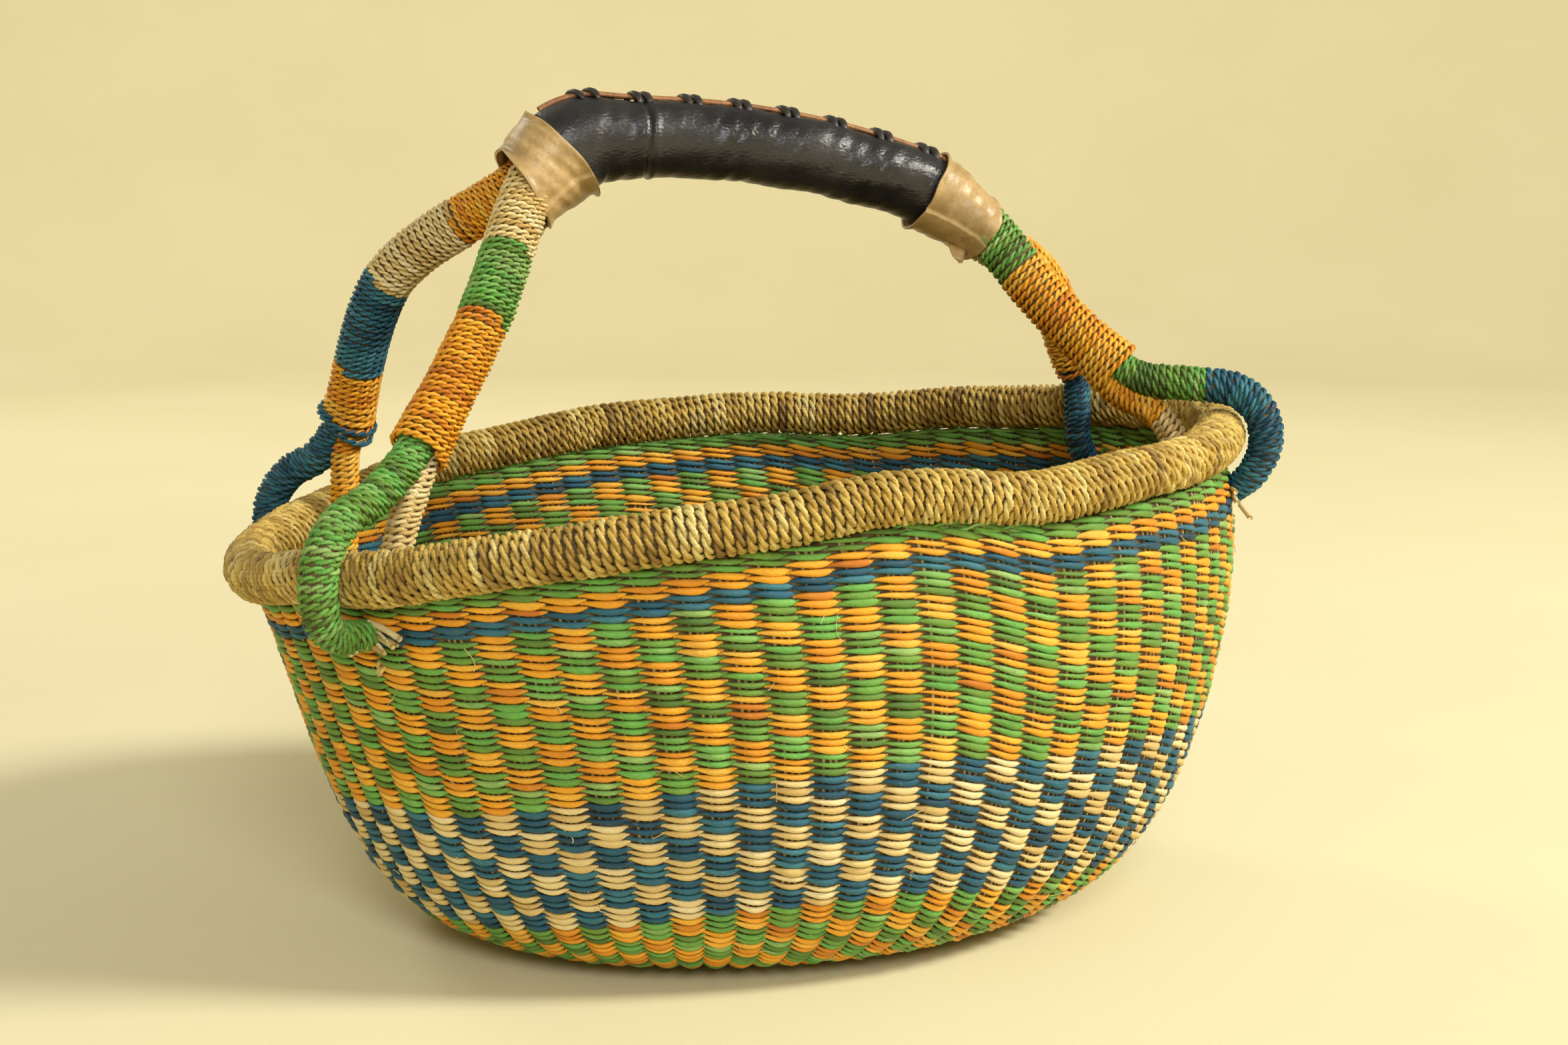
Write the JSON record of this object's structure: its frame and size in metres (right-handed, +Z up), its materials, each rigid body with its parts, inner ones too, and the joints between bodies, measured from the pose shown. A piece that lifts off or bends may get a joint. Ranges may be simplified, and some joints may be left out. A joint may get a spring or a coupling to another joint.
{
  "type": "woven basket",
  "caption": "Hand-woven oval straw basket with a thick wrapped rim and a fixed arched handle that splits into forked legs, with a leather grip.",
  "frame": {"origin": "on the floor, under the middle of the basket's mouth", "axes": "+Z up; +X along the handle and the long axis of the mouth, towards the end where the rim stands higher"},
  "size_m": [0.4098, 0.3238, 0.3246],
  "materials": {
    "cord_blue": "two-ply twisted dyed straw cord",
    "cord_green": "two-ply twisted dyed straw cord",
    "cord_natural": "two-ply twisted natural straw cord",
    "cord_orange": "two-ply twisted dyed straw cord",
    "lace_black": "leather lace",
    "leather_black": "goat leather, worn gloss",
    "rawhide": "shrunk rawhide, semi-gloss",
    "straw_blue": "twisted dyed grass straw, satin",
    "straw_blue_natural": "twisted dyed and natural grass straw, blue and natural blocks, satin sheen",
    "straw_bundle": "bundle of natural grass straw",
    "straw_green": "twisted dyed grass straw, satin",
    "straw_natural": "two-ply twisted natural grass straw",
    "straw_orange": "twisted dyed grass straw, satin",
    "straw_orange_green": "twisted dyed grass straw, orange and green blocks, satin sheen",
    "thong_tan": "tan leather strip"
  },
  "bodies": {
    "root": {"grip_core": "straw_bundle", "grip_leather": "leather_black", "grip_stitches": "lace_black", "grip_thong": "thong_tan", "inner_core_front_left": "straw_bundle", "inner_core_front_right": "straw_bundle", "inner_core_rear_left": "straw_bundle", "inner_core_rear_right": "straw_bundle", "inner_wrap_front_left_natural": "cord_natural", "inner_wrap_front_right_natural": "cord_natural", "inner_wrap_front_right_orange": "cord_orange", "inner_wrap_rear_left_orange": "cord_orange", "inner_wrap_rear_right_blue": "cord_blue", "leg_core_front_left": "straw_bundle", "leg_core_front_right": "straw_bundle", "leg_core_rear_left": "straw_bundle", "leg_core_rear_right": "straw_bundle", "leg_wrap_front_left_green": "cord_green", "leg_wrap_front_left_natural": "cord_natural", "leg_wrap_front_left_orange": "cord_orange", "leg_wrap_front_right_green": "cord_green", "leg_wrap_front_right_orange": "cord_orange", "leg_wrap_rear_left_blue": "cord_blue", "leg_wrap_rear_left_low_orange": "cord_orange", "leg_wrap_rear_left_natural": "cord_natural", "leg_wrap_rear_left_orange": "cord_orange", "leg_wrap_rear_right_natural": "cord_natural", "leg_wrap_rear_right_orange": "cord_orange", "outer_core_front_left": "straw_bundle", "outer_core_front_right": "straw_bundle", "outer_core_rear_left": "straw_bundle", "outer_core_rear_right": "straw_bundle", "outer_wrap_front_left_green": "cord_green", "outer_wrap_front_right_blue": "cord_blue", "outer_wrap_front_right_green": "cord_green", "outer_wrap_rear_left_blue": "cord_blue", "outer_wrap_rear_right_green": "cord_green", "rawhide_band_left": "rawhide", "rawhide_band_right": "rawhide", "rim_core": "straw_bundle", "rim_wrap": "straw_natural", "straw_stubs": "straw_natural", "stripe_blue": "straw_blue", "stripe_green": "straw_green", "stripe_orange": "straw_orange", "weave_base": "straw_orange_green", "weave_lower": "straw_blue_natural", "weave_upper": "straw_orange_green"}
  },
  "joints": []
}
